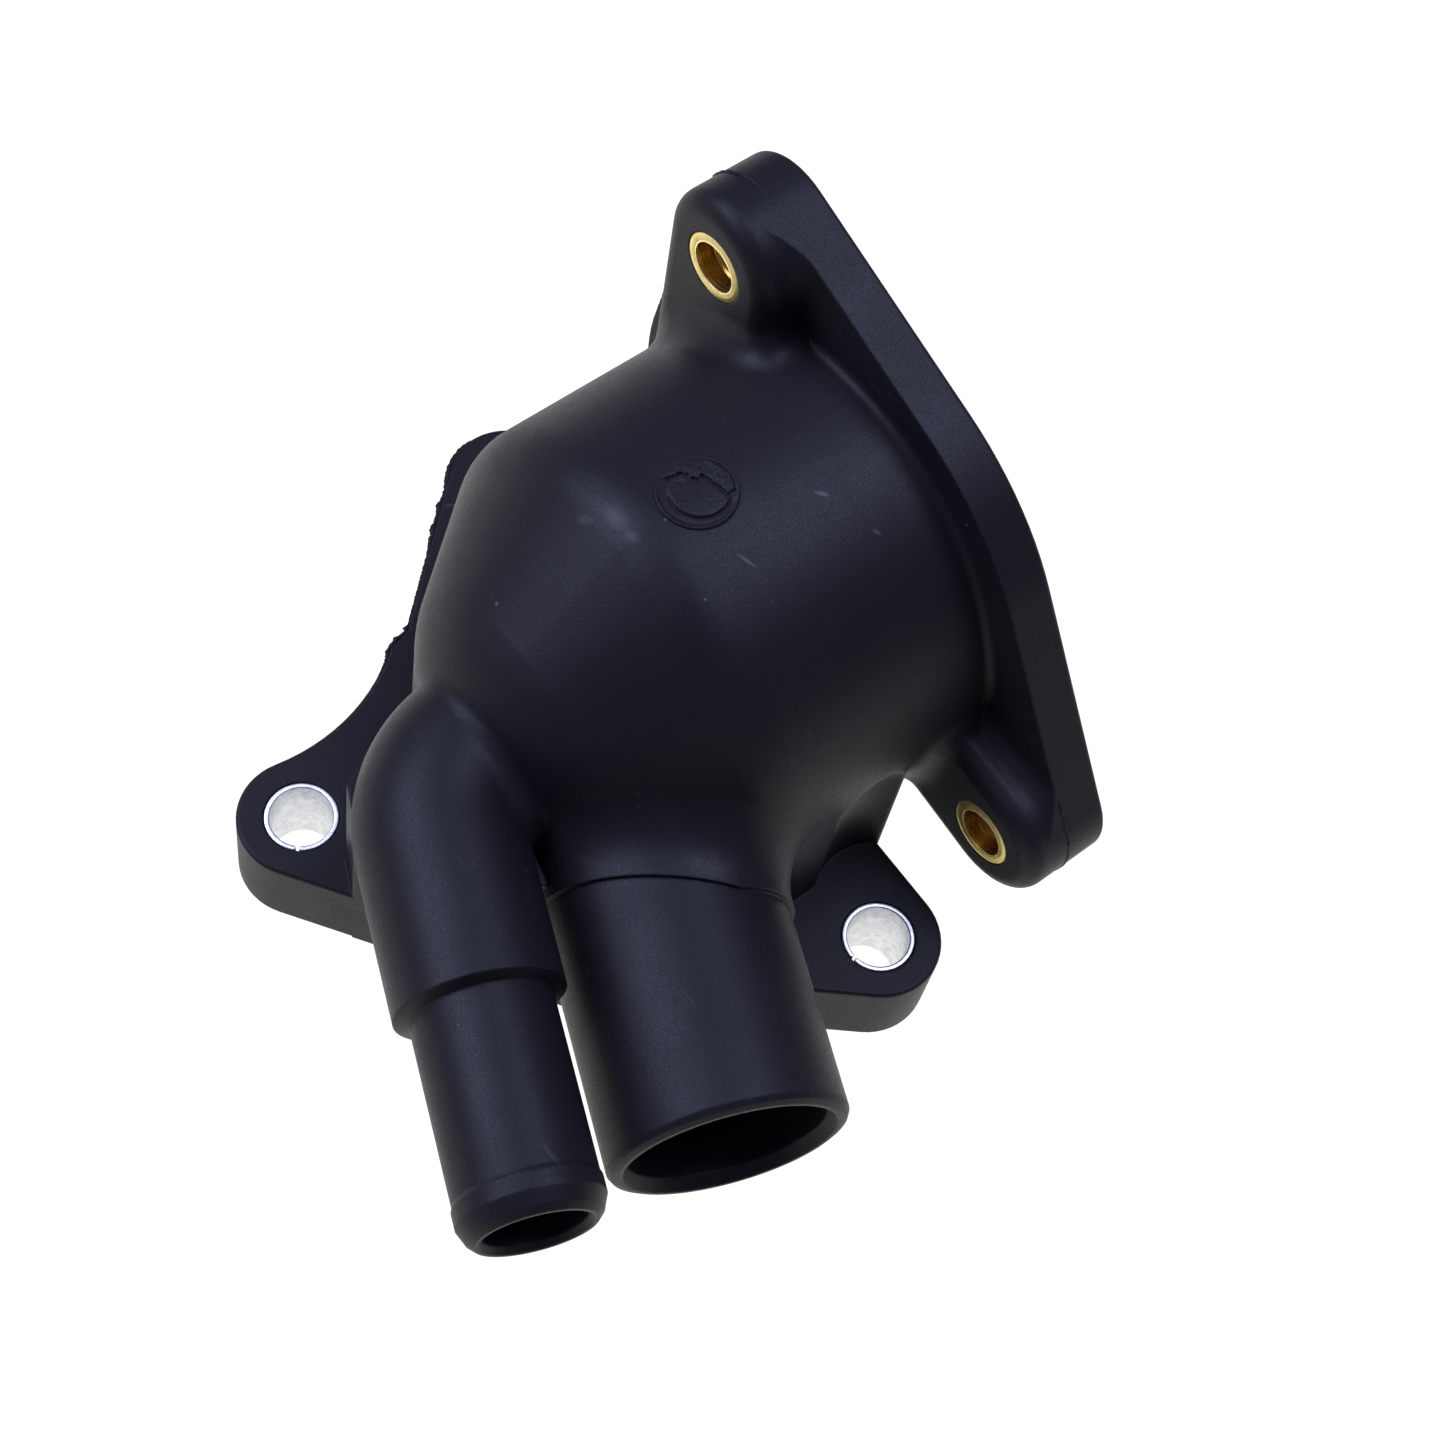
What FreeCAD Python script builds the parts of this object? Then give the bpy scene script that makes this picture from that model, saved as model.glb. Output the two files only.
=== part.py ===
import FreeCAD, Part
import math, os
os.makedirs("parts", exist_ok=True)

V = FreeCAD.Vector

# Main sizes in millimetres. Z is up, the underside of the base plate is Z 0, the chamber's
# axis runs along X, and the origin is the middle of the coolant opening in the underside.
chamber_r = 32.0
chamber_wall = 3.5
flange_land = 5.5
flange_clearance = 1.2
flange_disc_r = chamber_r + flange_land
chamber_z = flange_disc_r + flange_clearance
cone_angle = 38.0
cone_start_x = 0.54
shoulder_r = 10.0

tube_r = 10.55
tube_bore_r = 6.9
bend_r = 13.4
elbow_root_r = 2.5
spigot_angle = -113.1
small_step_at = 30.3
small_mouth_at = 58.2
small_r = 8.77
small_bore_r = 6.24
small_lip_r = 6.9
small_lip_depth = 0.8
bead_r = 8.98
bead_start = 53.3
bead_end = 55.6
nose_r = 7.7

boss_face_x = 29.0
boss_depth = 6.3
flange_t = 6.7
flange_back_x = boss_face_x + boss_depth
flange_face_x = flange_back_x + flange_t
ear_r = 9.5
upper_ear_reach = chamber_r + 10.68
upper_ear_angle = 58.0
lower_ear_reach = chamber_r + 11.83
lower_ear_angle = 194.7
flange_fillet = 1.2
boss_edge_r = 2.6
boss_root_r = 4.0
boss_foot_r = 3.0
rim_edge_r = 0.7

insert_r = 4.75
insert_hole_r = 3.4

plate_t = 13.2
lug_r = 8.5
plate_edge_r = 0.5
left_lug = (-36.7, 15.0)
right_lug = (14.8, -42.5)
rear_lug = (16.6, 41.6)
front_corner = (-21.0, -22.7)
bay_centre = (-30.1, 50.2)
bay_end = (-12.7, 29.15)
left_edge_angle = 41.5
left_edge_end = (-9.2, 30.15)

limiter_r = 5.0
limiter_hole_r = 4.2
limiter_slit = 0.35

opening_r = 16.0
groove_inner_r = opening_r + 2.0
groove_outer_r = groove_inner_r + 2.4
groove_depth = 2.0

large_r = 15.16
large_bore_r = 12.4
port_r = large_r + 0.64
port_root_r = 9.0
large_z = plate_t + port_r
large_seat_at = 37.6
large_mouth_at = 62.0
large_lip_r = 13.4
large_lip_depth = 1.6
large_crest_r = 13.96
collar_end_at = 34.7

seat_r = chamber_r - 2.0
seat_depth = 3.0
gate_x = 9.6
gate_y = 0.4
gate_r = 4.9
gate_disc_r = 2.95
gate_depth = 0.5
notch_r = 9.0
notch_depth = 2.0
notch_x = 18.0
notch_top_z = 32.2

# Sizes that follow from the ones above.
slope = math.tan(math.radians(cone_angle))
shoulder_x = cone_start_x + shoulder_r * math.tan(math.radians(cone_angle / 2))
nose_top = (cone_start_x - (chamber_r - tube_r - 8.85) / slope, tube_r + 8.85)
nose_middle = (nose_top[0] - 3.8, nose_top[1] - 4.2)
nose_end = (nose_top[0] - 6.7, tube_r - 0.55)
bend_corner_x = nose_end[0] - 6.3
block_top = chamber_z - 3.2
hair = 0.05
trim_reach = 60.0
trim_height = 90.0
pedestal_end_x = right_lug[0] + lug_r + 0.3
upper_ear = (
    upper_ear_reach * math.cos(math.radians(upper_ear_angle)),
    chamber_z + upper_ear_reach * math.sin(math.radians(upper_ear_angle)),
)
lower_ear = (
    lower_ear_reach * math.cos(math.radians(lower_ear_angle)),
    chamber_z + lower_ear_reach * math.sin(math.radians(lower_ear_angle)),
)
upper_inner = (upper_ear[0] - 0.6, chamber_z + 0.29 * chamber_r)
lower_inner = (-0.69 * chamber_r, chamber_z - 0.24 * chamber_r)


def solid_prism(outline, direction):
    """A solid from a closed flat wire, pushed along a direction."""
    return Part.Face(outline).extrude(direction)


def drum(radius, height, base, direction):
    return Part.makeCylinder(radius, height, base, direction)


def rounded_join(a, b, radius):
    """Joins two solids and rounds the new corner between them."""
    joined = a.fuse(b).removeSplitter()
    corner_edges = []
    for edge in joined.Edges:
        middle = Part.Vertex(edge.valueAt((edge.FirstParameter + edge.LastParameter) / 2))
        nearest = min(middle.distToShape(old)[0] for old in a.Edges + b.Edges)
        if nearest > 0.001:
            corner_edges.append(edge)
    return joined.makeFillet(radius, corner_edges)


def tangent_points(c1, r1, c2, r2):
    """The touching points of the outer tangent on the right of the way from c1 to c2."""
    dx = c2[0] - c1[0]
    dy = c2[1] - c1[1]
    length = math.hypot(dx, dy)
    along = math.atan2(dy, dx)
    tilt = math.asin((r1 - r2) / length)
    n = along - math.pi / 2 + tilt
    p1 = (c1[0] + r1 * math.cos(n), c1[1] + r1 * math.sin(n))
    p2 = (c2[0] + r2 * math.cos(n), c2[1] + r2 * math.sin(n))
    return p1, p2


def arc_between(centre, radius, start, end, place, turn=1):
    """An arc from start to end about a centre, anticlockwise for turn 1 and clockwise for -1."""
    a0 = math.atan2(start[1] - centre[1], start[0] - centre[0])
    a1 = math.atan2(end[1] - centre[1], end[0] - centre[0])
    if turn > 0 and a1 < a0:
        a1 = a1 + 2 * math.pi
    if turn < 0 and a1 > a0:
        a1 = a1 - 2 * math.pi
    mid = (a0 + a1) / 2
    middle = (centre[0] + radius * math.cos(mid), centre[1] + radius * math.sin(mid))
    return Part.Arc(place(start), place(middle), place(end)).toShape()


def hull_wire(circles, place):
    """The outline that wraps a list of circles, given anticlockwise as (centre, radius)."""
    count = len(circles)
    lines = []
    for i in range(count):
        c1, r1 = circles[i]
        c2, r2 = circles[(i + 1) % count]
        lines.append(tangent_points(c1, r1, c2, r2))
    edges = []
    for i in range(count):
        centre, radius = circles[i]
        arrive = lines[i - 1][1]
        leave = lines[i][0]
        edges.append(arc_between(centre, radius, arrive, leave, place))
        edges.append(Part.makeLine(place(lines[i][0]), place(lines[i][1])))
    return Part.Wire(edges)


def on_plan(point):
    return V(point[0], point[1], 0)


def on_flange(x):
    """Places a (y, z) point on the plane across the chamber's axis at x."""
    def place(point):
        return V(x, point[0], point[1])
    return place


def unit(angle):
    return (math.cos(math.radians(angle)), math.sin(math.radians(angle)))


def tangent_from(point, centre, radius, side):
    """The touching point on a circle of the line from a point, on side 1 or -1."""
    dx = centre[0] - point[0]
    dy = centre[1] - point[1]
    length = math.hypot(dx, dy)
    angle = math.atan2(dy, dx) + side * math.asin(radius / length)
    reach = math.sqrt(length ** 2 - radius ** 2)
    return (point[0] + reach * math.cos(angle), point[1] + reach * math.sin(angle))


def plate_wire():
    """The base plate's outline: three lugs, a cornered front and a hollow left side."""
    right_out, rear_in = tangent_points(right_lug, lug_r, rear_lug, lug_r)
    edge = unit(left_edge_angle + 90)
    rear_out = (rear_lug[0] + lug_r * edge[0], rear_lug[1] + lug_r * edge[1])
    bay_r = math.hypot(bay_end[0] - bay_centre[0], bay_end[1] - bay_centre[1])
    reach = math.hypot(left_lug[0] - bay_centre[0], left_lug[1] - bay_centre[1])
    share = (reach - bay_r) / reach
    lug_top = (
        left_lug[0] + share * (bay_centre[0] - left_lug[0]),
        left_lug[1] + share * (bay_centre[1] - left_lug[1]),
    )
    left_front = tangent_from(front_corner, left_lug, lug_r, 1)
    right_front = tangent_from(front_corner, right_lug, lug_r, -1)
    edges = []
    edges.append(arc_between(right_lug, lug_r, right_front, right_out, on_plan))
    edges.append(Part.makeLine(on_plan(right_out), on_plan(rear_in)))
    edges.append(arc_between(rear_lug, lug_r, rear_in, rear_out, on_plan))
    edges.append(Part.makeLine(on_plan(rear_out), on_plan(left_edge_end)))
    edges.append(Part.makeLine(on_plan(left_edge_end), on_plan(bay_end)))
    edges.append(arc_between(bay_centre, bay_r, bay_end, lug_top, on_plan, -1))
    edges.append(arc_between(left_lug, reach - bay_r, lug_top, left_front, on_plan))
    edges.append(Part.makeLine(on_plan(left_front), on_plan(front_corner)))
    edges.append(Part.makeLine(on_plan(front_corner), on_plan(right_front)))
    return Part.Wire(edges)


def polygon(points):
    return Part.makePolygon(points + [points[0]])


def turned(points, axis_point, direction):
    """A solid of revolution from (along, radius) points about an axis in the X Y plane."""
    side = V(-direction.y, direction.x, 0)
    places = [axis_point + direction * a + side * r for a, r in points]
    face = Part.Face(polygon(places))
    return face.revolve(axis_point, direction, 360)


axis = V(1, 0, 0)
axis_point = V(0, 0, chamber_z)
spigot = V(unit(spigot_angle)[0], unit(spigot_angle)[1], 0)

# The chamber is a drum with a rounded shoulder and a cone towards the small tube.
shoulder_mid = (
    shoulder_x - shoulder_r * math.sin(math.radians(cone_angle / 2)),
    chamber_r - shoulder_r * (1 - math.cos(math.radians(cone_angle / 2))),
)
shoulder_end = (
    shoulder_x - shoulder_r * math.sin(math.radians(cone_angle)),
    chamber_r - shoulder_r * (1 - math.cos(math.radians(cone_angle))),
)


def at(point):
    """A point of the chamber's profile, given as (along the axis, radius)."""
    return V(point[0], 0, chamber_z + point[1])


def chamber_profile():
    fillet_mid = (
        flange_back_x - flange_fillet * (1 - math.cos(math.radians(45))),
        chamber_r + flange_fillet * (1 - math.sin(math.radians(45))),
    )
    back = flange_back_x + 1.0
    edges = []
    edges.append(Part.makeLine(at((back, 0)), at((back, chamber_r + flange_fillet))))
    edges.append(Part.makeLine(
        at((back, chamber_r + flange_fillet)), at((flange_back_x, chamber_r + flange_fillet))))
    start = at((flange_back_x, chamber_r + flange_fillet))
    end = at((flange_back_x - flange_fillet, chamber_r))
    edges.append(Part.Arc(start, at(fillet_mid), end).toShape())
    edges.append(Part.makeLine(end, at((shoulder_x, chamber_r))))
    edges.append(Part.Arc(at((shoulder_x, chamber_r)), at(shoulder_mid), at(shoulder_end)).toShape())
    edges.append(Part.makeLine(at(shoulder_end), at(nose_top)))
    edges.append(Part.Arc(at(nose_top), at(nose_middle), at(nose_end)).toShape())
    edges.append(Part.makeLine(at(nose_end), at((nose_end[0], 0))))
    edges.append(Part.makeLine(at((nose_end[0], 0)), at((back, 0))))
    return Part.Face(Part.Wire(edges))


def chamber_body():
    return chamber_profile().revolve(axis_point, axis, 360)


def half_plan(side):
    """One side of the chamber's profile, a hair inside it, laid flat as seen from above."""
    def place(point):
        return V(point[0], side * (point[1] - hair), 0)
    start = place((pedestal_end_x, chamber_r))
    edges = []
    edges.append(Part.makeLine(start, place((shoulder_x, chamber_r))))
    bend = Part.Arc(place((shoulder_x, chamber_r)), place(shoulder_mid), place(shoulder_end))
    edges.append(bend.toShape())
    edges.append(Part.makeLine(place(shoulder_end), place(nose_top)))
    edges.append(Part.Arc(place(nose_top), place(nose_middle), place(nose_end)).toShape())
    return edges


def pedestal():
    """Straight walls under the chamber's middle, down to the plate."""
    edges = half_plan(1) + half_plan(-1)
    tip = nose_end[1] - hair
    side = chamber_r - hair
    edges.append(Part.makeLine(V(nose_end[0], tip, 0), V(nose_end[0], -tip, 0)))
    edges.append(Part.makeLine(V(pedestal_end_x, side, 0), V(pedestal_end_x, -side, 0)))
    wire = Part.Wire(Part.__sortEdges__(edges))
    return solid_prism(wire, V(0, 0, chamber_z))


def tube_path(start_x, end_at):
    """The small pipe's middle line: straight, a bend, then straight along the spigot."""
    turn = math.pi - abs(math.radians(spigot_angle))
    tangent = bend_r * math.tan(turn / 2)
    corner = V(bend_corner_x, 0, chamber_z)
    first = corner + axis * tangent
    last = corner + spigot * tangent
    centre = V(first.x, -bend_r, chamber_z)
    toward = corner - centre
    toward.normalize()
    middle = centre + toward * bend_r
    line_in = Part.makeLine(V(start_x, 0, chamber_z), first)
    bend = Part.Arc(first, middle, last).toShape()
    line_out = Part.makeLine(last, corner + spigot * end_at)
    return Part.Wire([line_in, bend, line_out])


def swept(radius, start_x, end_at):
    path = tube_path(start_x, end_at)
    ring = Part.makeCircle(radius, V(start_x, 0, chamber_z), axis)
    return path.makePipeShell([Part.Wire(ring)], True, False)


def small_spigot():
    corner = V(bend_corner_x, 0, chamber_z)
    points = [
        (small_step_at - 4.0, 0),
        (small_step_at - 4.0, tube_r),
        (small_step_at - 0.5, tube_r),
        (small_step_at + 0.3, small_r),
        (bead_start - 0.3, small_r),
        (bead_start + 0.3, bead_r),
        (bead_end, bead_r),
        (small_mouth_at - 0.8, nose_r + 0.5),
        (small_mouth_at, nose_r - 0.3),
        (small_mouth_at, 0),
    ]
    return turned(points, corner, spigot)


def large_spigot():
    """The large spigot, a hair thicker towards its root and rounded off at its mouth."""
    points = [
        (5.0, 0),
        (5.0, large_r + 0.06),
        (large_seat_at, large_r),
        (large_mouth_at - 1.1, large_r),
        (large_mouth_at - 0.4, large_r - 0.4),
        (large_mouth_at, large_crest_r),
        (large_mouth_at, 0),
    ]
    return turned(points, V(0, 0, large_z), spigot)


def mouth_cone(point, mouth_at, bore_r, lip_r, lip_depth):
    """The cone that opens a spigot's bore a little at the mouth, run on past the mouth."""
    base = point + spigot * (mouth_at - lip_depth)
    return Part.makeCone(bore_r, 2 * lip_r - bore_r, 2 * lip_depth, base, spigot)


def space_ahead(point, run, back, onward):
    """The space on the right of a line on the plan, to cut things off along it."""
    out = V(run.y, -run.x, 0)
    start = V(point[0], point[1], -1)
    a = start - run * back
    b = start + run * onward
    c = b + out * trim_reach
    d = a + out * trim_reach
    return solid_prism(polygon([a, b, c, d]), V(0, 0, trim_height))


def port_boss():
    """The thicker collar behind the large spigot, cut flush with the plate's front."""
    collar = drum(port_r, large_mouth_at - 8, V(0, 0, large_z), spigot)
    right_front = tangent_from(front_corner, right_lug, lug_r, -1)
    run = V(right_front[0] - front_corner[0], right_front[1] - front_corner[1], 0)
    run.normalize()
    return collar.cut(space_ahead(front_corner, run, trim_reach, trim_height))


def chamber_with_collar():
    """The chamber and the collar with a wide round between them, ended square to the spigot."""
    joined = rounded_join(chamber_body(), port_boss(), port_root_r)
    across = V(-spigot.y, spigot.x, 0)
    return joined.cut(space_ahead(spigot * collar_end_at, across, trim_reach, trim_reach))


def block():
    """The upright block that carries the small pipe, flush with the plate's front."""
    left_front = tangent_from(front_corner, left_lug, lug_r, 1)
    run = V(left_front[0] - front_corner[0], left_front[1] - front_corner[1], 0)
    run.normalize()
    corner = V(front_corner[0], front_corner[1], 0)
    a = corner + run * 4.6
    b = corner + run * 29.7
    outer = V(bend_corner_x - 7.0, 0.62 * tube_r, 0)
    side = V(bend_corner_x - 1.4, tube_r - 1.15, 0)
    inside = V(nose_end[0] + 10.3, tube_r - 1.15, 0)
    inside_right = V(nose_end[0] + 10.3, 2.55 - tube_r, 0)
    heel = V(nose_end[0] + 0.5, -1.85 - tube_r, 0)
    points = [a, b, outer, side, inside, inside_right, heel]
    return solid_prism(polygon(points), V(0, 0, block_top))


def flange_wire(x):
    circles = [
        (lower_ear, ear_r),
        ((0, chamber_z), flange_disc_r),
        (upper_ear, ear_r),
        ((0, chamber_z), flange_disc_r),
    ]
    return hull_wire(circles, on_flange(x))


def flange():
    """The cover flange: two ears on a round disc, with its rims slightly rounded."""
    slab = solid_prism(flange_wire(flange_back_x), V(flange_face_x - flange_back_x, 0, 0))
    rims = [e for e in slab.Edges if e.BoundBox.XMax - e.BoundBox.XMin < 0.01]
    return slab.makeFillet(rim_edge_r, rims)


def ear_bar(ear, inner):
    """A round-ended bar from an ear to the chamber, with a rounded front rim."""
    wire = hull_wire([(ear, ear_r), (inner, ear_r)], on_flange(boss_face_x))
    bar = solid_prism(wire, V(flange_back_x + 1 - boss_face_x, 0, 0))
    front = [e for e in bar.Edges if e.BoundBox.XMax < boss_face_x + 0.01]
    return bar.makeFillet(boss_edge_r, front)


def ear_foot(ear, inner):
    """The same bar with a rounded foot against the flange, trimmed to the flange's outline."""
    slab = Part.makeBox(3, 160, 160, V(flange_back_x, -80, -40))
    foot = rounded_join(ear_bar(ear, inner), slab, boss_foot_r)
    limit = solid_prism(flange_wire(boss_face_x), V(flange_back_x + 1 - boss_face_x, 0, 0))
    return foot.common(limit)


def chamber_with_bosses():
    """The chamber's drum with the two bosses growing out of it."""
    body = drum(chamber_r, flange_back_x + 1 - shoulder_x, V(shoulder_x, 0, chamber_z), axis)
    body = rounded_join(body, ear_bar(upper_ear, upper_inner), boss_root_r)
    return rounded_join(body, ear_bar(lower_ear, lower_inner), boss_root_r)


def inner_chamber():
    """The hollow of the chamber, parallel to its outside."""
    r = chamber_r - chamber_wall
    drop = chamber_wall / math.cos(math.radians(cone_angle)) - chamber_wall
    cone_x = cone_start_x + drop / slope
    small_x = cone_x - (r - tube_bore_r) / slope
    points = [
        (flange_face_x + 1, 0),
        (flange_face_x + 1, seat_r),
        (flange_face_x - seat_depth, seat_r),
        (flange_face_x - seat_depth, r),
        (cone_x, r),
        (small_x, tube_bore_r),
        (small_x, 0),
    ]
    return turned(points, axis_point, axis)


# The moulding's outside is joined from its plain solids.
plate = solid_prism(plate_wire(), V(0, 0, plate_t))
plate_rims = [e for e in plate.Edges if e.BoundBox.ZMax - e.BoundBox.ZMin < 0.01]
plate = plate.makeFillet(plate_edge_r, plate_rims)
outside = chamber_with_collar()
small_tube = swept(tube_r, nose_end[0] + 6.0, small_step_at - 3.0)
outside = outside.fuse(rounded_join(chamber_body(), small_tube, elbow_root_r))
outside = outside.fuse(chamber_with_bosses())
outside = outside.fuse(ear_foot(upper_ear, upper_inner))
outside = outside.fuse(ear_foot(lower_ear, lower_inner))
outside = outside.fuse(pedestal())
outside = outside.fuse(flange())
outside = outside.fuse(plate)
outside = outside.fuse(block())
outside = outside.fuse(large_spigot())
outside = outside.fuse(small_spigot())

# The hollows: the chamber, the two pipes, the coolant opening and its seal groove.
hollow = inner_chamber()
hollow = hollow.fuse(drum(opening_r, chamber_z, V(0, 0, -1), V(0, 0, 1)))
large_start = V(0, 0, large_z)
hollow = hollow.fuse(drum(large_bore_r, large_mouth_at + 1, large_start, spigot))
hollow = hollow.fuse(swept(tube_bore_r, -8.0, small_step_at - 4.0))
corner = V(bend_corner_x, 0, chamber_z)
small_bore = small_mouth_at - small_step_at + 7
hollow = hollow.fuse(drum(small_bore_r, small_bore, corner + spigot * (small_step_at - 6), spigot))
groove = drum(groove_outer_r, groove_depth, V(0, 0, 0), V(0, 0, 1))
groove = groove.cut(drum(groove_inner_r, groove_depth, V(0, 0, 0), V(0, 0, 1)))

housing = outside.cut(hollow)
housing = housing.cut(mouth_cone(
    large_start, large_mouth_at, large_bore_r, large_lip_r, large_lip_depth))
housing = housing.cut(mouth_cone(
    corner, small_mouth_at, small_bore_r, small_lip_r, small_lip_depth))
housing = housing.cut(groove)
for lug in (left_lug, right_lug, rear_lug):
    housing = housing.cut(drum(limiter_r, plate_t, V(lug[0], lug[1], 0), V(0, 0, 1)))
for ear in (upper_ear, lower_ear):
    length = flange_face_x - boss_face_x
    housing = housing.cut(drum(insert_r, length, V(boss_face_x, ear[0], ear[1]), axis))
notch_y = notch_depth - chamber_r - notch_r
notch = drum(notch_r, notch_top_z - plate_t, V(notch_x, notch_y, plate_t), V(0, 0, 1))
notch = notch.fuse(Part.makeSphere(notch_r, V(notch_x, notch_y, notch_top_z)))
housing = housing.cut(notch)
gate_z = chamber_z + chamber_r - gate_depth
recess = drum(gate_r, 2.0, V(gate_x, gate_y, gate_z), V(0, 0, 1))
recess = recess.cut(drum(gate_disc_r, 2.0, V(gate_x, gate_y, gate_z), V(0, 0, 1)))
housing = housing.cut(recess)
housing = housing.removeSplitter()
print("housing", housing.ShapeType, len(housing.Solids), "valid", housing.isValid(), round(housing.Volume))
box = housing.BoundBox
print("box", box)
housing.exportStep("parts/housing.step")


def limiter(lug, slit_angle):
    sleeve = drum(limiter_r, plate_t, V(lug[0], lug[1], 0), V(0, 0, 1))
    sleeve = sleeve.cut(drum(limiter_hole_r, plate_t, V(lug[0], lug[1], 0), V(0, 0, 1)))
    slit = Part.makeBox(limiter_r, limiter_slit, plate_t, V(2.0, -limiter_slit / 2, 0))
    slit.rotate(V(0, 0, 0), V(0, 0, 1), slit_angle)
    slit.translate(V(lug[0], lug[1], 0))
    return sleeve.cut(slit)


limiter(left_lug, -131).exportStep("parts/limiter_left.step")
limiter(right_lug, -175).exportStep("parts/limiter_right.step")
limiter(rear_lug, 60).exportStep("parts/limiter_rear.step")


def insert(ear):
    length = flange_face_x - boss_face_x
    body = drum(insert_r, length, V(boss_face_x, ear[0], ear[1]), axis)
    return body.cut(drum(insert_hole_r, length, V(boss_face_x, ear[0], ear[1]), axis))


insert(upper_ear).exportStep("parts/insert_upper.step")
insert(lower_ear).exportStep("parts/insert_lower.step")
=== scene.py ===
# %% [markdown]
# # A moulded thermostat housing
# The part is a black plastic moulding that sits on an engine. A domed chamber holds the valve,
# a flange takes the cover, a base plate bolts it down, and two spigots take the hoses. This
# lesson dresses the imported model: the moulding keeps its own mesh and gets a nylon finish, the
# steel sleeves and brass inserts are built anew with their true details, and the small marks
# that moulding leaves behind are added as pieces of their own.

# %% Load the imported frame
import math
import random

import bmesh
import bpy
from mathutils import Matrix, Vector, noise
from mathutils.bvhtree import BVHTree


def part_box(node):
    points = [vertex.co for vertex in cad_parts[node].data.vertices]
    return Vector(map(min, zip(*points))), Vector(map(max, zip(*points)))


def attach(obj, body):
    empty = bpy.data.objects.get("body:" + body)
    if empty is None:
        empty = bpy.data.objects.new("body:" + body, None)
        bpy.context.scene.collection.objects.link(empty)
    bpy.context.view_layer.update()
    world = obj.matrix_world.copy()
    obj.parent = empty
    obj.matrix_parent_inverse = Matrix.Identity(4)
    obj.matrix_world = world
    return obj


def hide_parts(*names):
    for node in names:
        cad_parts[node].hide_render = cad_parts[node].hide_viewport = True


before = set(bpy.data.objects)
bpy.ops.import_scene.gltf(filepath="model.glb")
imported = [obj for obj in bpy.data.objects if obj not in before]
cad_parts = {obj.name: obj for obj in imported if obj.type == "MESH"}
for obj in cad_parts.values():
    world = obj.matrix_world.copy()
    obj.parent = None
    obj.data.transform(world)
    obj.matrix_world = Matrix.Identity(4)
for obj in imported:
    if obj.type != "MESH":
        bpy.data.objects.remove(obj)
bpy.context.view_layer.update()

MM = 0.001
print("nodes", sorted(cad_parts))

# %% [markdown]
# ## The camera
# The photo was taken from above and in front with a long lens, and the camera was turned a
# little about its own line of sight. A constraint that tracks an empty could aim it, but then
# the turn is hard to set. Here the three directions of the camera are worked out from its
# heading, its angle downwards and its turn, and they go straight into its matrix.

# %% Camera
camera_place = Vector((-124.311, -118.358, 347.293)) * MM
heading = math.radians(38.426)
look_down = math.radians(61.545)
turn = math.radians(14.868)
lens_mm = 69.77
sensor_mm = 36.0
nearest_m = 0.01
farthest_m = 50.0

forward = Vector((math.cos(look_down) * math.cos(heading),
                  math.cos(look_down) * math.sin(heading),
                  -math.sin(look_down)))
level = forward.cross(Vector((0, 0, 1))).normalized()
raised = level.cross(forward)
right = level * math.cos(turn) + raised * math.sin(turn)
up = right.cross(forward)

camera_data = bpy.data.cameras.new("photo_camera")
camera_data.lens = lens_mm
camera_data.sensor_width = sensor_mm
camera_data.clip_start = nearest_m
camera_data.clip_end = farthest_m
camera = bpy.data.objects.new("photo_camera", camera_data)
bpy.context.scene.collection.objects.link(camera)
camera.matrix_world = Matrix((
    (right.x, up.x, -forward.x, camera_place.x),
    (right.y, up.y, -forward.y, camera_place.y),
    (right.z, up.z, -forward.z, camera_place.z),
    (0, 0, 0, 1)))
bpy.context.scene.camera = camera
print("camera stands", round(camera_place.length, 3), "m from the origin")

# %% [markdown]
# ## Colour and one helper for nodes
# Screens store colour in sRGB, but a shader works with linear light, so each hex colour passes
# through one function. A material is a tree of nodes. Each could be added by hand in five
# lines, but one small helper that adds a node, sets it and links it keeps the trees short.

# %% Colours and nodes
def linear(colour):
    """The linear red, green, blue and alpha of an sRGB hex colour."""
    channels = [int(colour[i:i + 2], 16) / 255 for i in (1, 3, 5)]
    mapped = [c / 12.92 if c <= 0.04045 else ((c + 0.055) / 1.055) ** 2.4 for c in channels]
    return (*mapped, 1.0)


def add_node(tree, kind, settings, links=()):
    """Adds a node. Settings are its properties or input values, links are (input, source)."""
    made = tree.nodes.new(kind)
    for name, value in settings.items():
        if isinstance(name, str) and name in made.bl_rna.properties:
            setattr(made, name, value)
        else:
            made.inputs[name].default_value = value
    for name, source in links:
        tree.links.new(source, made.inputs[name])
    return made


print("black nylon in linear light", [round(c, 4) for c in linear("#141418")[:3]])

# %% [markdown]
# Every material starts empty and ends in an output node. Patterns are laid out by the place on
# the object. Blender gives that place in metres, so it is turned to millimetres once, and then
# the scale of each pattern is simply one divided by its real size.

# %% Starting and ending a material
def new_material(name):
    """An empty material with its node tree and the output node."""
    material = bpy.data.materials.new(name)
    material.use_nodes = True
    material.node_tree.nodes.clear()
    output = material.node_tree.nodes.new("ShaderNodeOutputMaterial")
    return material, material.node_tree, output


def place_in_mm(tree):
    """The place on the object in millimetres."""
    where = add_node(tree, "ShaderNodeTexCoord", {})
    in_mm = add_node(tree, "ShaderNodeVectorMath", {"operation": "SCALE", "Scale": 1 / MM},
                     [(0, where.outputs["Object"])])
    return in_mm.outputs["Vector"]


def close_material(material, tree, output, shader):
    """Joins the shader to the output, and says how large the tree is."""
    tree.links.new(shader.outputs["BSDF"], output.inputs["Surface"])
    print(material.name, "has", len(tree.nodes), "nodes")
    return material


print("a pattern of 5 mm has the scale", 1 / 5)

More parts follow.
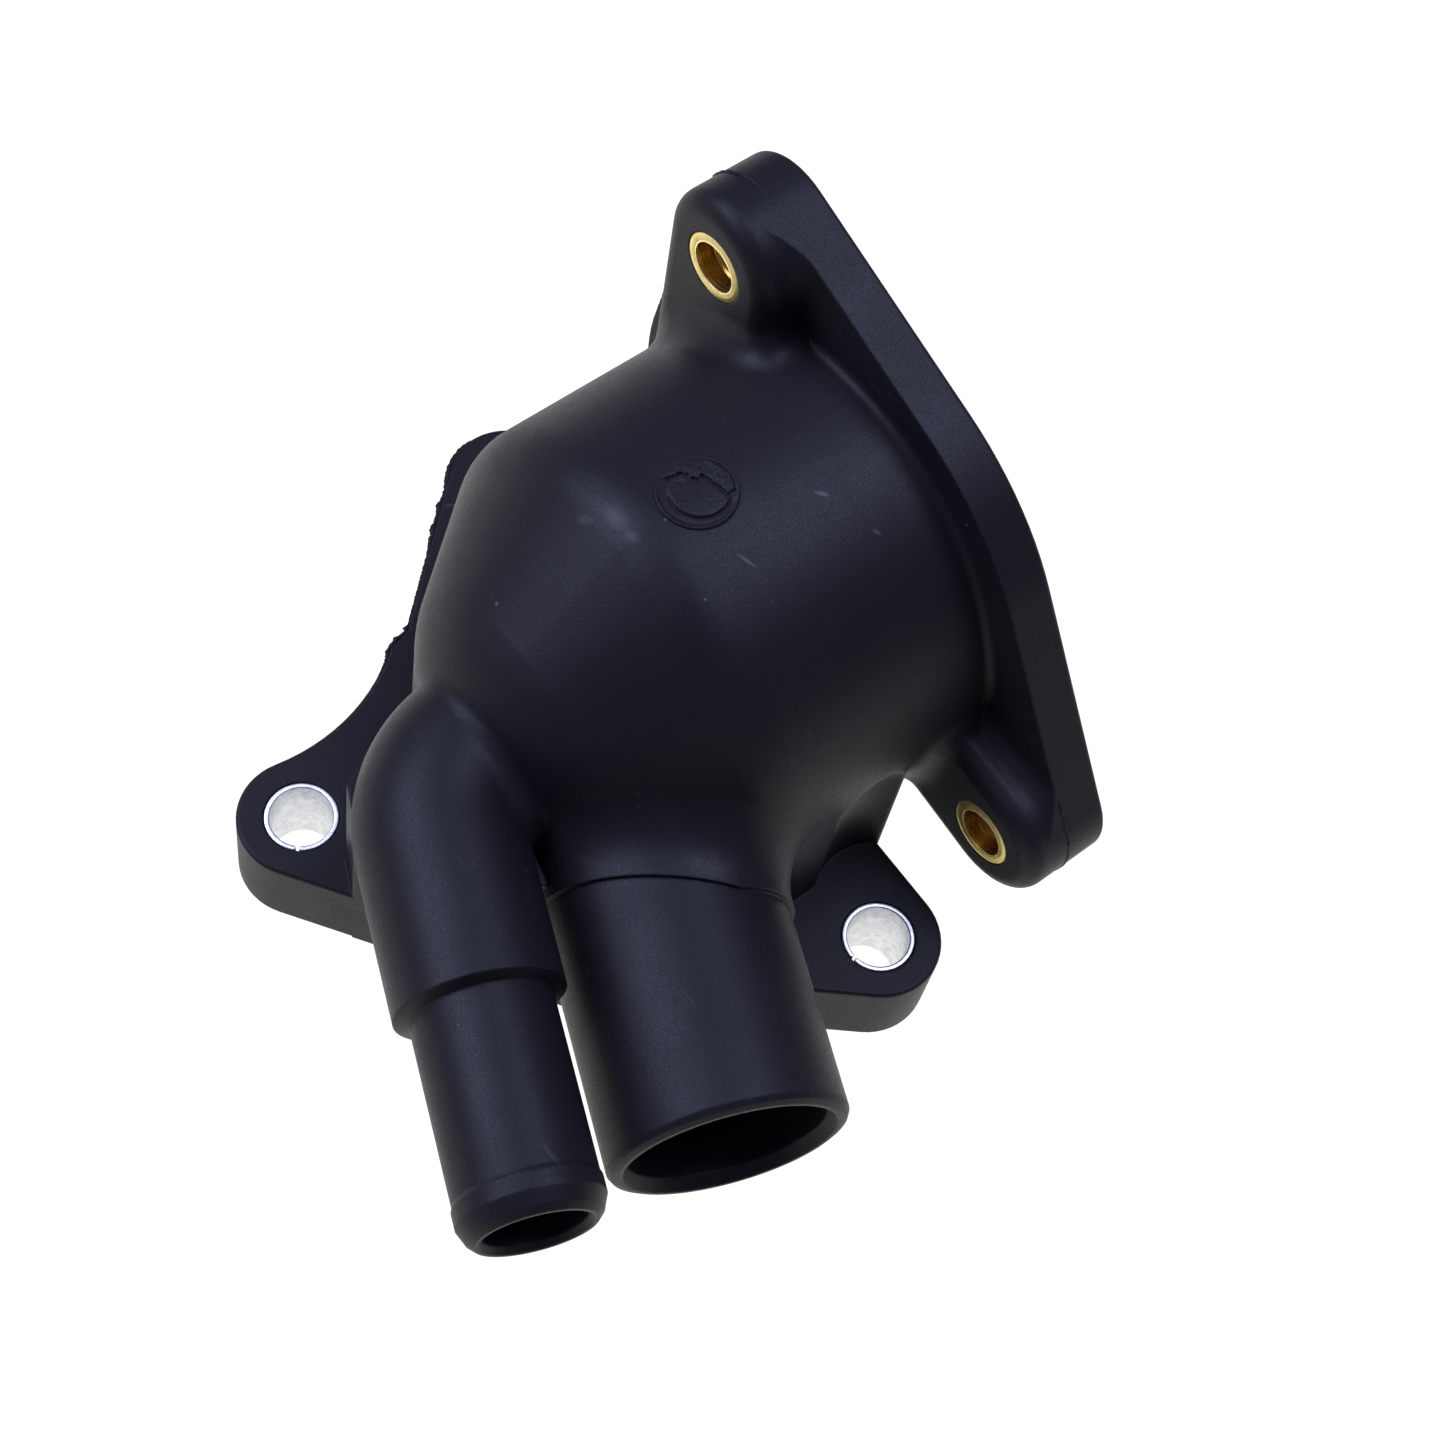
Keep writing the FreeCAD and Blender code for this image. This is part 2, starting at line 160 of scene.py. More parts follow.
# %% [markdown]
# ## The floor
# The photo has a pure white ground, lit as brightly as the table of a light box, so the part's
# own shadow hardly shows. A white plane under strong lamps could do it, but then the lamps
# would burn out the part. Here the floor gives off some light of its own, and the lamps stay
# soft. The floor also lights the steep sides of the part from below, as in the photo, and it
# glows less far away, because there it would only wash out the sides.

# %% Floor
floor_half_m = 3.0
floor_glow = 1.10
far_share = 0.30            # how much of the glow is left far from the part
glow_near_m = 0.24
glow_far_m = 0.75
glow_colour = "#fffcf6"
paper_colour = "#484847"    # darker than paper, because the glow already makes it white

floor_mesh = bpy.data.meshes.new("floor")
floor_mesh.from_pydata(
    [(-floor_half_m, -floor_half_m, 0), (floor_half_m, -floor_half_m, 0),
     (floor_half_m, floor_half_m, 0), (-floor_half_m, floor_half_m, 0)], [], [(0, 1, 2, 3)])
floor = bpy.data.objects.new("floor", floor_mesh)
bpy.context.scene.collection.objects.link(floor)
paper, tree, output = new_material("white_paper_floor")
paper_place = add_node(tree, "ShaderNodeTexCoord", {})
reach = add_node(tree, "ShaderNodeVectorMath", {"operation": "LENGTH"},
                 [(0, paper_place.outputs["Object"])])
glow = add_node(tree, "ShaderNodeMapRange", {
    "interpolation_type": "SMOOTHSTEP", "From Min": glow_near_m, "From Max": glow_far_m,
    "To Min": floor_glow, "To Max": floor_glow * far_share}, [("Value", reach.outputs["Value"])])
paper_shader = add_node(tree, "ShaderNodeBsdfPrincipled", {
    "Base Color": linear(paper_colour),
    "Roughness": 0.9,
    "Specular IOR Level": 0.1,
    "Emission Color": linear(glow_colour)},
    [("Emission Strength", glow.outputs["Result"])])
floor_mesh.materials.append(close_material(paper, tree, output, paper_shader))

# %% [markdown]
# ## The light
# A point lamp would draw a hard bright spot on each round form. The photo has broad soft ones,
# one on the crown and one on the left of the cone, and a dark front. Three large area lamps
# give them: one far to the left, a weak one beyond it, and one over the right side. A dim
# bluish room fills the rest.

# %% Lamps
lamp_colour = "#c8ccf0"
lamp_aim = Vector((0, 0, 0.03))
lamps = [
    # name, place in m, width and height in m, power in W
    ("lamp_left", (-0.62, 0.65, 0.86), 0.9, 0.55, 16.5),
    ("lamp_right", (0.44, -0.16, 1.10), 0.6, 0.6, 13.2),
    ("lamp_back", (-0.16, 0.60, 1.04), 0.6, 0.6, 7.4),
]
for lamp_name, place, width, height, power in lamps:
    lamp_data = bpy.data.lights.new(lamp_name, "AREA")
    lamp_data.shape = "RECTANGLE"
    lamp_data.size = width
    lamp_data.size_y = height
    lamp_data.energy = power
    lamp_data.color = linear(lamp_colour)[:3]
    lamp = bpy.data.objects.new(lamp_name, lamp_data)
    lamp.location = place
    lamp.rotation_mode = "QUATERNION"
    lamp.rotation_quaternion = (lamp_aim - Vector(place)).to_track_quat("-Z", "Y")
    bpy.context.scene.collection.objects.link(lamp)
print("lamps", [lamp_row[0] for lamp_row in lamps])

# %% Room
room_light = 0.32
room_colour = "#b9b8e6"

world = bpy.data.worlds.new("dim_room")
world.use_nodes = True
world.node_tree.nodes.clear()
room = add_node(world.node_tree, "ShaderNodeBackground", {
    "Color": linear(room_colour), "Strength": room_light})
sky = world.node_tree.nodes.new("ShaderNodeOutputWorld")
world.node_tree.links.new(room.outputs["Background"], sky.inputs["Surface"])
bpy.context.scene.world = world
bpy.context.scene.view_settings.view_transform = "Standard"
bpy.context.scene.view_settings.look = "None"
print("room light", room_light)

# %% [markdown]
# ## Moulded nylon
# The housing is PA66, a nylon filled with chopped glass, injected into a polished and partly
# spark-eroded tool. That gives a near-black satin skin: smooth and bluish where it faces up,
# with a very fine tooth and faint flow clouds from the melt, and with pale scuffs and dust
# from handling. An image could carry the marks, but node patterns stay sharp at any size and
# need no file. First come the colours, and the real size of each pattern.

# %% Nylon: colours and sizes
nylon_colour = "#141418"
scuff_colour = "#505158"
edge_colour = "#26272d"
nylon_ior = 1.45            # a little under nylon's 1.53, because the tooth scatters the shine
nylon_shine = 0.16          # under the usual 0.5, for the tooth and the glass in the skin
nylon_roughness = 0.45
flow_mm = 14.0
flow_change = (-0.05, 0.06)     # how far the flow clouds move the roughness
tooth_mm = 0.30             # the real tooth is about 0.1 mm, drawn coarser so that it shows
tooth_change = (-0.07, 0.07)    # how far the tooth moves the roughness
tooth_depth_mm = 0.05
tooth_strength = 0.60
scuff_mm = 2.2
scuff_depth_share = 0.35    # the scuffs' depth as a share of the tooth's
dust_mm = 5.0
edge_round_mm = 0.45
print("nylon roughness", [round(nylon_roughness + change, 2) for change in flow_change])

# %% [markdown]
# Scuffs are short streaks, kept only where a stretched noise peaks. Dust is single pale specks.
# A noise would give clouds of them, so the specks sit in the cells of a Voronoi pattern, one in
# each cell that is dusty enough.

# %% Nylon: scuffs and dust
scuff_turn = (0.3, 0.5, 0.9)
scuff_stretch = (1.0, 0.16, 0.4)
dusty_above = 0.72


def scuffs_and_dust(tree, place):
    """How pale the skin is from scuffs and dust, and the streaks behind the scuffs."""
    streak_place = add_node(tree, "ShaderNodeMapping", {
        "Rotation": scuff_turn, "Scale": scuff_stretch}, [("Vector", place)])
    streak = add_node(tree, "ShaderNodeTexNoise", {
        "Scale": 1 / scuff_mm, "Detail": 5.0, "Roughness": 0.7},
        [("Vector", streak_place.outputs["Vector"])])
    scuff = add_node(tree, "ShaderNodeMapRange", {
        "From Min": 0.66, "From Max": 0.84, "To Max": 0.35}, [("Value", streak.outputs["Fac"])])
    cells = add_node(tree, "ShaderNodeTexVoronoi", {
        "Scale": 1 / dust_mm, "Randomness": 1.0}, [("Vector", place)])
    speck = add_node(tree, "ShaderNodeMapRange", {
        "From Min": 0.045, "From Max": 0.02, "To Max": 0.6},
        [("Value", cells.outputs["Distance"])])
    dusty = add_node(tree, "ShaderNodeMath", {"operation": "GREATER_THAN", 1: dusty_above},
                     [(0, cells.outputs["Color"])])
    dust = add_node(tree, "ShaderNodeMath", {"operation": "MULTIPLY"},
                    [(0, speck.outputs["Result"]), (1, dusty.outputs["Value"])])
    pale = add_node(tree, "ShaderNodeMath", {"operation": "MAXIMUM"},
                    [(0, scuff.outputs["Result"]), (1, dust.outputs["Value"])])
    return pale.outputs["Value"], streak.outputs["Fac"]


print("scuffs", scuff_mm, "mm wide, dust every", dust_mm, "mm")

# %% [markdown]
# Some marks have to sit at known places. Each is the distance from its middle, pressed together
# along its own direction, so that a round spot becomes a streak. The tooth breaks it up.

# %% Nylon: marks at known places
def add_mark(tree, place, tooth, pale, mark):
    """Adds a short soft streak to what is pale. Lengths of the mark are in millimetres."""
    middle, along, length, width, strength = mark
    along = Vector(along).normalized()
    away = add_node(tree, "ShaderNodeVectorMath", {"operation": "SUBTRACT", 1: middle},
                    [(0, place)])
    lengthwise = add_node(tree, "ShaderNodeVectorMath", {
        "operation": "DOT_PRODUCT", 1: along * (1 / length - 1 / width)},
        [(0, away.outputs["Vector"])])
    pull = add_node(tree, "ShaderNodeVectorMath", {"operation": "SCALE", 0: along},
                    [("Scale", lengthwise.outputs["Value"])])
    even = add_node(tree, "ShaderNodeVectorMath", {"operation": "SCALE", "Scale": 1 / width},
                    [(0, away.outputs["Vector"])])
    shaped = add_node(tree, "ShaderNodeVectorMath", {"operation": "ADD"},
                      [(0, even.outputs["Vector"]), (1, pull.outputs["Vector"])])
    distance = add_node(tree, "ShaderNodeVectorMath", {"operation": "LENGTH"},
                        [(0, shaped.outputs["Vector"])])
    soft = add_node(tree, "ShaderNodeMapRange", {
        "From Min": 1.0, "From Max": 0.2, "To Max": strength},
        [("Value", distance.outputs["Value"])])
    broken = add_node(tree, "ShaderNodeMath", {"operation": "MULTIPLY"},
                      [(0, soft.outputs["Result"]), (1, tooth)])
    both = add_node(tree, "ShaderNodeMath", {"operation": "MAXIMUM"},
                    [(0, pale), (1, broken.outputs["Value"])])
    return both.outputs["Value"]


# Each mark is its middle in mm, the way it runs, half its length and width in mm, its strength.
photo_marks = [
    ((0.0, 3.4, 69.7), (0.10, -0.98, 0.12), 2.7, 1.5, 0.5),
    ((-0.1, 0.3, 69.8), (0.30, -0.95, 0.05), 1.5, 0.9, 0.55),
    ((-2.6, 6.2, 67.9), (0.30, -0.90, 0.30), 1.6, 0.8, 0.5),
    ((22.3, -7.7, 69.7), (0.72, -0.66, -0.2), 1.2, 0.4, 1.2),
    ((25.7, -14.5, 67.2), (0.55, -0.75, -0.35), 0.9, 0.3, 0.9),
    ((9.4, -9.7, 69.2), (0.40, -0.88, -0.25), 1.9, 0.22, 1.2),
    ((7.4, 42.8, 13.2), (0.90, -0.45, 0.0), 1.3, 0.3, 0.60),
    ((-13.9, 6.9, 58.2), (0.0, 1.0, 0.0), 0.35, 0.35, 1.3),
]
print("marks from the photo", len(photo_marks))

# %% [markdown]
# Sharp edges of a moulding are never quite sharp. A bevel modifier would change the packed
# mesh, so a bevel normal rounds the edges in the light alone. Where that normal leaves the flat
# one there is an edge, and there the skin is rubbed a little paler.

# %% Nylon: rounded and rubbed edges
def rounded_edges(tree):
    """The normal with rounded edges, and how much of an edge each place is."""
    rounded = add_node(tree, "ShaderNodeBevel", {"samples": 6, "Radius": edge_round_mm * MM})
    flat = add_node(tree, "ShaderNodeNewGeometry", {})
    same = add_node(tree, "ShaderNodeVectorMath", {"operation": "DOT_PRODUCT"},
                    [(0, rounded.outputs["Normal"]), (1, flat.outputs["Normal"])])
    edge = add_node(tree, "ShaderNodeMapRange", {
        "From Min": 0.985, "From Max": 0.80, "To Max": 0.5}, [("Value", same.outputs["Value"])])
    return rounded.outputs["Normal"], edge.outputs["Result"]


print("edges are rounded by", edge_round_mm, "mm")

# %% [markdown]
# Now the parts come together: nylon, then rubbed edges, then pale marks for the colour, flow
# clouds and tooth for the roughness, and tooth and scuffs for the bump. The IOR and the shine
# are the same all over, so they sit on the shader's own sockets.

# %% Nylon: the whole material
def nylon(name, marks=()):
    """Glass-filled nylon as moulded, with marks at known places."""
    material, tree, output = new_material(name)
    place = place_in_mm(tree)
    flow = add_node(tree, "ShaderNodeTexNoise", {
        "Scale": 1 / flow_mm, "Detail": 4.0, "Roughness": 0.55, "Distortion": 0.6},
        [("Vector", place)])
    tooth = add_node(tree, "ShaderNodeTexNoise", {
        "Scale": 1 / tooth_mm, "Detail": 2.0, "Roughness": 0.6}, [("Vector", place)])
    pale, streak = scuffs_and_dust(tree, place)
    for mark in marks:
        pale = add_mark(tree, place, tooth.outputs["Fac"], pale, mark)
    rounded, edge = rounded_edges(tree)
    body = add_node(tree, "ShaderNodeMix", {
        "data_type": "RGBA", "A": linear(nylon_colour), "B": linear(edge_colour)},
        [("Factor", edge)])
    skin = add_node(tree, "ShaderNodeMix", {"data_type": "RGBA", "B": linear(scuff_colour)},
                    [("Factor", pale), ("A", body.outputs["Result"])])
    clouded = add_node(tree, "ShaderNodeMapRange", {
        "From Min": 0.25, "From Max": 0.75, "To Min": nylon_roughness + flow_change[0],
        "To Max": nylon_roughness + flow_change[1]}, [("Value", flow.outputs["Fac"])])
    grain = add_node(tree, "ShaderNodeMapRange", {
        "From Min": 0.3, "From Max": 0.7, "To Min": tooth_change[0], "To Max": tooth_change[1]},
        [("Value", tooth.outputs["Fac"])])
    rough = add_node(tree, "ShaderNodeMath", {"operation": "ADD"},
                     [(0, clouded.outputs["Result"]), (1, grain.outputs["Result"])])
    height = add_node(tree, "ShaderNodeMath", {"operation": "MULTIPLY_ADD", 1: scuff_depth_share},
                      [(0, streak), (2, tooth.outputs["Fac"])])
    bump = add_node(tree, "ShaderNodeBump", {
        "Strength": tooth_strength, "Distance": tooth_depth_mm * MM},
        [("Height", height.outputs["Value"]), ("Normal", rounded)])
    shader = add_node(tree, "ShaderNodeBsdfPrincipled", {
        "IOR": nylon_ior, "Specular IOR Level": nylon_shine},
        [("Base Color", skin.outputs["Result"]), ("Roughness", rough.outputs["Value"]),
         ("Normal", bump.outputs["Normal"])])
    return close_material(material, tree, output, shader)


housing_nylon = nylon("moulded_black_nylon", photo_marks)

# %% [markdown]
# The moulding could be modelled again here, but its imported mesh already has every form, so it
# stays as it is and only takes the material. The marks are what the photo shows: a few pale
# rubs and scratches on the chamber's crown, a speck on the cone and a scratch on the plate.

# %% Nylon on the moulding
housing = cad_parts["housing"]
housing.data.materials.clear()
housing.data.materials.append(housing_nylon)
print("the moulding has", len(housing.data.polygons), "faces")

# %% [markdown]
# ## Building the small pieces
# Sleeves, inserts, the gate mark and the flash are all one section carried along a line. A
# curve with a bevel object could do that, but its section can't change on the way. Here each
# piece is a list of rows of points, and one helper joins each row to the next.

# %% Mesh helper for the built pieces
def mesh_piece(name, rows, closed_round, closed_section, material):
    """A mesh from rows of points, joined row to row, with its material and slot."""
    bm = bmesh.new()
    grid = [[bm.verts.new(point) for point in row] for row in rows]
    row_count = len(grid)
    point_count = len(grid[0])
    for i in range(row_count if closed_round else row_count - 1):
        for j in range(point_count if closed_section else point_count - 1):
            k = (i + 1) % row_count
            m = (j + 1) % point_count
            bm.faces.new((grid[i][j], grid[k][j], grid[k][m], grid[i][m]))
    if closed_section and not closed_round:
        bm.faces.new(grid[0])
        bm.faces.new(list(reversed(grid[-1])))
    bmesh.ops.recalc_face_normals(bm, faces=bm.faces)
    mesh = bpy.data.meshes.new(name)
    bm.to_mesh(mesh)
    bm.free()
    mesh.shade_smooth()
    mesh.materials.append(material)
    piece = bpy.data.objects.new(name, mesh)
    bpy.context.scene.collection.objects.link(piece)
    return piece


def smooth(low, high, value):
    """0 at low, 1 at high, an even change between them and none outside."""
    share = min(1.0, max(0.0, (value - low) / (high - low)))
    return share * share * (3 - 2 * share)


print("halfway", smooth(0, 10, 5), "and a quarter of the way", smooth(0, 10, 2.5))

# %% [markdown]
# ## Steel sleeves in the bolt holes
# Plastic creeps under a tight bolt, so each lug holds a sleeve that takes the load. It is
# rolled from zinc-plated steel sheet, a bright, slightly blue metal. The rolling leaves long
# fine lines round the sleeve and the plating a cloudy, uneven shine. One flat grey would look
# like paint, so a stretched noise draws the lines and a round one the clouds.

# %% Plated steel material
steel_colour = "#e9ebee"
steel_dull = "#cdd2d8"
steel_roughness = (0.36, 0.46)
roll_line_mm = 0.22         # real rolling lines are finer, drawn as coarse as they show
roll_line_stretch = (0.12, 0.12, 1.0)
roll_line_depth_mm = 0.03
roll_line_strength = 0.12
plating_cloud_mm = 0.9


def plated_steel(name):
    """Zinc-plated rolled steel."""
    material, tree, output = new_material(name)
    place = place_in_mm(tree)
    lines_place = add_node(tree, "ShaderNodeMapping", {"Scale": roll_line_stretch},
                           [("Vector", place)])
    lines = add_node(tree, "ShaderNodeTexNoise", {
        "Scale": 1 / roll_line_mm, "Detail": 3.0, "Roughness": 0.6},
        [("Vector", lines_place.outputs["Vector"])])
    cloud = add_node(tree, "ShaderNodeTexNoise", {
        "Scale": 1 / plating_cloud_mm, "Detail": 3.0}, [("Vector", place)])
    tint = add_node(tree, "ShaderNodeMapRange", {"From Min": 0.35, "From Max": 0.70},
                    [("Value", cloud.outputs["Fac"])])
    colour = add_node(tree, "ShaderNodeMix", {
        "data_type": "RGBA", "A": linear(steel_colour), "B": linear(steel_dull)},
        [("Factor", tint.outputs["Result"])])
    gloss = add_node(tree, "ShaderNodeMapRange", {
        "From Min": 0.3, "From Max": 0.7,
        "To Min": steel_roughness[0], "To Max": steel_roughness[1]},
        [("Value", lines.outputs["Fac"])])
    bump = add_node(tree, "ShaderNodeBump", {
        "Strength": roll_line_strength, "Distance": roll_line_depth_mm * MM},
        [("Height", lines.outputs["Fac"])])
    shader = add_node(tree, "ShaderNodeBsdfPrincipled", {"Metallic": 1.0},
                      [("Base Color", colour.outputs["Result"]),
                       ("Roughness", gloss.outputs["Result"]), ("Normal", bump.outputs["Normal"])])
    return close_material(material, tree, output, shader)


sleeve_steel = plated_steel("zinc_plated_rolled_steel")

# %% [markdown]
# A rolled sleeve has a seam with rounded ends, and it springs out against its hole. A cylinder
# with a slot would show a sawn cut. Here the sheet's section is carried round the hole, and it
# is drawn in at both ends, which leaves the seam as rolling leaves it.

# %% Section of the sheet
sheet_mm = 0.70
corner_mm = 0.20
corner_steps = 4            # points on each rounded corner, 30 degrees apart


def sleeve_section(radius, thickness, bottom, top):
    """The sheet's section with rounded corners, as (radius, height) points in mm."""
    points = []
    round_mm = min(corner_mm, thickness * 0.45)
    inner = radius - thickness / 2
    outer = radius + thickness / 2
    corners = [(outer - round_mm, bottom + round_mm, -90), (outer - round_mm, top - round_mm, 0),
               (inner + round_mm, top - round_mm, 90), (inner + round_mm, bottom + round_mm, 180)]
    for r, z, start in corners:
        for step in range(corner_steps):
            angle = math.radians(start + 30 * step)
            points.append((r + round_mm * math.cos(angle), z + round_mm * math.sin(angle)))
    return points


print("the sheet's section has", len(sleeve_section(5.0, sheet_mm, 0.0, 1.0)), "points")

# %% Rolled sleeves
sleeve_gap_mm = 0.10        # the fine dark line between the sleeve and its hole
sleeve_short_mm = 0.02      # how far the sleeve ends under the lug's face
seam_gap_mm = 0.40
spring_mm = 0.03            # a rolled sleeve is never quite round
sleeve_steps = 120
nose_steps = 7              # rows on each rounded end of the sheet
nose_start = 8              # degrees, so that the end isn't drawn in to nothing
seams = {"limiter_left": -131.0, "limiter_right": -175.0, "limiter_rear": 60.0}     # degrees


def rolled_sleeve(node, seam_angle):
    """A sleeve in the place of a packed limiter, with its seam at an angle in degrees."""
    low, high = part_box(node)
    middle = (low + high) / 2
    outer_r = (high.x - low.x) / 2 / MM
    radius = outer_r - sleeve_gap_mm - sheet_mm / 2
    height = (high.z - low.z) / MM
    half_gap = seam_gap_mm / 2 / radius
    nose = sheet_mm / 2 / radius
    first = math.radians(seam_angle) + half_gap
    last = math.radians(seam_angle) + 2 * math.pi - half_gap
    shares = [math.radians(nose_start + step * (90 - nose_start) / (nose_steps - 1))
              for step in range(nose_steps)]
    angles = [(first + nose * (1 - math.cos(share)), math.sin(share)) for share in shares]
    for step in range(1, sleeve_steps):
        angles.append((first + nose + (last - first - 2 * nose) * step / sleeve_steps, 1.0))
    angles += [(last - nose * (1 - math.cos(share)), math.sin(share))
               for share in reversed(shares)]
    rows = []
    for angle, fullness in angles:
        wobble = spring_mm * math.sin(2 * angle + seam_angle)
        section = sleeve_section(radius + wobble, sheet_mm * fullness, 0.0,
                                 height - sleeve_short_mm)
        rows.append([Vector((r * math.cos(angle), r * math.sin(angle), z)) * MM
                     for r, z in section])
    piece = mesh_piece("steel_" + node, rows, False, True, sleeve_steel)
    piece.location = (middle.x, middle.y, low.z)
    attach(piece, "root")
    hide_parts(node)
    print(piece.name, "outer radius", round(outer_r - sleeve_gap_mm, 2), "mm, height",
          round(height, 2), "mm")


for node, seam_angle in seams.items():
    rolled_sleeve(node, seam_angle)

# %% [markdown]
# ## Brass inserts
# The cover's bolts screw into brass bushes pressed into the two ears. Brass that was faced on a
# lathe is a pale warm yellow with fine rings, and its bore is shinier than its face and is drawn
# browner in painted shade. A plain yellow metal would lose both, so the rings are a noise in one
# direction, and the depth below the face sets the shine and the painted shade.

# %% Turned brass material
brass_colour = "#f2de8e"
brass_dull = "#dcc474"
bore_shade_brass = "#b8964e"      # painted shade: the bores are drawn browner and darker than their faces
bore_shade_mm = (0.10, 0.90)     # the depth where the bore's painted shade starts, and where it is full
turning_mm = 0.30           # real turning lines are about 0.05 mm apart, drawn coarser
turning_depth_mm = 0.04
turning_strength = 0.3
brass_cloud_mm = 1.1
face_roughness = 0.50
bore_roughness = 0.34


def turned_brass(name):
    """Brass turned on a lathe. The axis of the turning is the object's x, its face is at 0."""
    material, tree, output = new_material(name)
    place = place_in_mm(tree)
    across = add_node(tree, "ShaderNodeVectorMath", {"operation": "MULTIPLY", 1: (0.0, 1.0, 1.0)},
                      [(0, place)])
    radius = add_node(tree, "ShaderNodeVectorMath", {"operation": "LENGTH"},
                      [(0, across.outputs["Vector"])])
    depth = add_node(tree, "ShaderNodeVectorMath", {"operation": "DOT_PRODUCT", 1: (1.0, 0.0, 0.0)},
                     [(0, place)])
    turned = add_node(tree, "ShaderNodeMath", {"operation": "ADD"},
                      [(0, radius.outputs["Value"]), (1, depth.outputs["Value"])])
    rings = add_node(tree, "ShaderNodeTexNoise", {
        "noise_dimensions": "1D", "Scale": 1 / turning_mm, "Detail": 2.0},
        [("W", turned.outputs["Value"])])
    cloud = add_node(tree, "ShaderNodeTexNoise", {"Scale": 1 / brass_cloud_mm, "Detail": 3.0},
                     [("Vector", place)])
    tint = add_node(tree, "ShaderNodeMapRange", {"From Min": 0.40, "From Max": 0.75},
                    [("Value", cloud.outputs["Fac"])])
    colour = add_node(tree, "ShaderNodeMix", {
        "data_type": "RGBA", "A": linear(brass_colour), "B": linear(brass_dull)},
        [("Factor", tint.outputs["Result"])])
    # Painted shade: deeper below the face, the colour turns browner and darker towards the bore's
    # colour.
    in_bore = add_node(tree, "ShaderNodeMapRange", {
        "From Min": bore_shade_mm[0], "From Max": bore_shade_mm[1]}, [("Value", depth.outputs["Value"])])
    bore_shaded = add_node(tree, "ShaderNodeMix", {"data_type": "RGBA", "B": linear(bore_shade_brass)},
                       [("Factor", in_bore.outputs["Result"]), ("A", colour.outputs["Result"])])
    gloss = add_node(tree, "ShaderNodeMapRange", {
        "From Min": 0.3, "From Max": 0.7, "To Min": 0.75, "To Max": 1.15},
        [("Value", rings.outputs["Fac"])])
    face_or_bore = add_node(tree, "ShaderNodeMapRange", {
        "From Min": 0.05, "From Max": 0.25, "To Min": face_roughness, "To Max": bore_roughness},
        [("Value", depth.outputs["Value"])])
    rough = add_node(tree, "ShaderNodeMath", {"operation": "MULTIPLY"},
                     [(0, gloss.outputs["Result"]), (1, face_or_bore.outputs["Result"])])
    bump = add_node(tree, "ShaderNodeBump", {
        "Strength": turning_strength, "Distance": turning_depth_mm * MM},
        [("Height", rings.outputs["Fac"])])
    shader = add_node(tree, "ShaderNodeBsdfPrincipled", {"Metallic": 1.0},
                      [("Base Color", bore_shaded.outputs["Result"]),
                       ("Roughness", rough.outputs["Value"]), ("Normal", bump.outputs["Normal"])])
    return close_material(material, tree, output, shader)


insert_brass = turned_brass("turned_brass")

# %% [markdown]
# Each insert has a flat turned face flush with its boss and an M8 thread of 1.25 mm pitch. A
# spiral curve with a bevel could stand in for the thread, but it leaves gaps at the ends. Here
# one closed skin goes round the bush, and its inner wall is pushed out along the helix.

# %% Threaded inserts
thread_pitch_mm = 1.25
thread_depth_mm = 0.32
thread_crest_r = 3.40
thread_start_mm = 2.0       # a plain lead-in before the first full turn
thread_grow_mm = 0.8        # over this length the thread gets its full depth
flank_rise = 1.35           # how steeply a flank rises
crest_flat = 0.2            # and how much of the crest stays flat
mouth_chamfer_mm = 0.05
rim_chamfer_mm = 0.12
insert_play_mm = 0.03
around = 72
thread_steps = 110
thread_phases = {"insert_upper": 0.15, "insert_lower": 0.60}    # where each helix starts


def threaded_insert(node, phase):
    """A bush with a real thread in the place of a packed insert."""
    low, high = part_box(node)
    middle = (low + high) / 2
    outer_r = (high.y - low.y) / 2 / MM - insert_play_mm
    length = (high.x - low.x) / MM
    mouth_r = thread_crest_r + mouth_chamfer_mm
    rows = []
    for i in range(around):
        angle = 2 * math.pi * i / around
        section = [(0.0, mouth_r), (0.0, outer_r - rim_chamfer_mm), (rim_chamfer_mm, outer_r),
                   (length - rim_chamfer_mm, outer_r), (length, outer_r - rim_chamfer_mm),
                   (length, mouth_r)]
        for j in range(thread_steps + 1):
            x = length * (1 - j / thread_steps)
            turn_share = (x / thread_pitch_mm - angle / (2 * math.pi) + phase) % 1.0
            flank = 1 - abs(2 * turn_share - 1)
            end = min(x, length - x)
            full = smooth(thread_start_mm, thread_start_mm + thread_grow_mm, end)
            cut = full * thread_depth_mm * min(1.0, max(0.0, flank_rise * flank - crest_flat))
            mouth = mouth_chamfer_mm - end
            section.append((x, thread_crest_r + max(cut, mouth)))
        rows.append([Vector((x, r * math.cos(angle), r * math.sin(angle))) * MM
                     for x, r in section])
    piece = mesh_piece("brass_" + node, rows, True, True, insert_brass)
    piece.location = (low.x, middle.y, middle.z)
    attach(piece, "root")
    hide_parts(node)
    print(piece.name, "holds", round(length / thread_pitch_mm, 1), "turns, faces",
          len(piece.data.polygons))


for node, phase in thread_phases.items():
    threaded_insert(node, phase)

# %% [markdown]
# ## The gate mark
# Nylon enters the mould through a gate on the crown of the chamber. When the part is taken
# out, the gate tears off and leaves a round witness with a stub of torn plastic across it.
# A bump map would do from afar, but the torn edge stands up, so it is a real surface here: a
# disc of rings whose heights follow the ring, its groove and the ragged tear. The mark is laid
# out as the photo shows it, by millimetres to the photo's right (s) and to its top (t).

